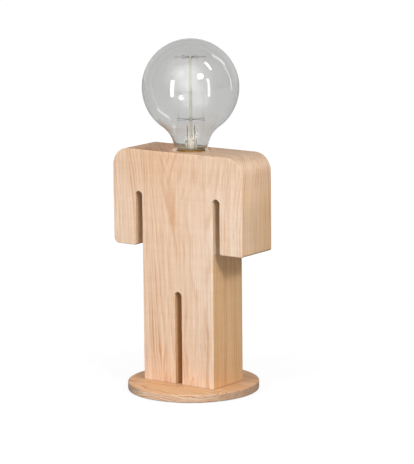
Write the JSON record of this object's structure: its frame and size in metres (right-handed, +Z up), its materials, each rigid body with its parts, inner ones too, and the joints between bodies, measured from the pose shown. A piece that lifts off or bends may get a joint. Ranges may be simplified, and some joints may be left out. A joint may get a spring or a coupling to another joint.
{
  "type": "figure lamp",
  "caption": "Table lamp: a plain wooden little man, cut from one block by arm and leg slots, on a round disc, with a clear globe bulb screwed into its top as a head.",
  "frame": {"origin": "centre of the underside of the base felt", "axes": "+Z up along the bulb's axis, the figure faces -Y, +X is to the right as seen from the front"},
  "size_m": [0.1554, 0.13, 0.3485],
  "materials": {
    "figure_wood": "sanded pale softwood, oiled",
    "base_wood": "sanded pale softwood, oiled",
    "felt": "pressed felt",
    "screw_steel": "zinc plated",
    "bushing_plastic": "moulded",
    "holder_porcelain": "glazed",
    "contact_brass": "stamped",
    "clear_glass": "clear",
    "stem_glass": "clear",
    "cap_brass": "rolled",
    "cement": "baked cement",
    "insulator": "fused black glass",
    "solder": "solder",
    "support_wire": "drawn wire",
    "filament": "carbonised wire"
  },
  "bodies": {
    "lamp": {"base_felt": "felt", "base_disc": "base_wood", "base_screws": "screw_steel", "figure_block": "figure_wood", "cord_bushing": "bushing_plastic", "holder_body": "holder_porcelain", "screw_shell": "contact_brass", "contact_foot": "contact_brass", "contact_rivets": "contact_brass", "terminal_blocks": "contact_brass", "terminal_screws": "screw_steel", "holder_screws": "screw_steel"},
    "contact": {"contact_tongue": "contact_brass"},
    "bulb_tip": {"cap_tip": "solder"},
    "bulb": {"globe_glass": "clear_glass", "cap_shell": "cap_brass", "cap_cement": "cement", "cap_insulator": "insulator", "stem_glass": "stem_glass", "support_rod": "stem_glass", "upper_supports": "support_wire", "lower_supports": "support_wire", "lead_wires": "support_wire", "filament": "filament"}
  },
  "joints": [
    {"name": "contact_flex", "type": "hinge", "parent": "lamp", "child": "contact", "pos_m": [-0.007, 0, 0.21175], "axis": [0, 1, 0], "range_deg": [0, 5], "stiffness_Nm_per_rad": 0.3, "springref_deg": -5.73},
    {"name": "bulb_rise", "type": "slide", "parent": "lamp", "child": "bulb_tip", "axis": [0, 0, 1], "range_m": [0, 0.01634]},
    {"name": "bulb_turn", "type": "hinge", "parent": "bulb_tip", "child": "bulb", "pos_m": [0, 0, 0.241], "axis": [0, 0, 1], "range_deg": [0, 1620]}
  ],
  "couplings": [
    {"joint": "bulb_rise", "follows": "bulb_turn", "m_per_rad": 0.00057757}
  ]
}
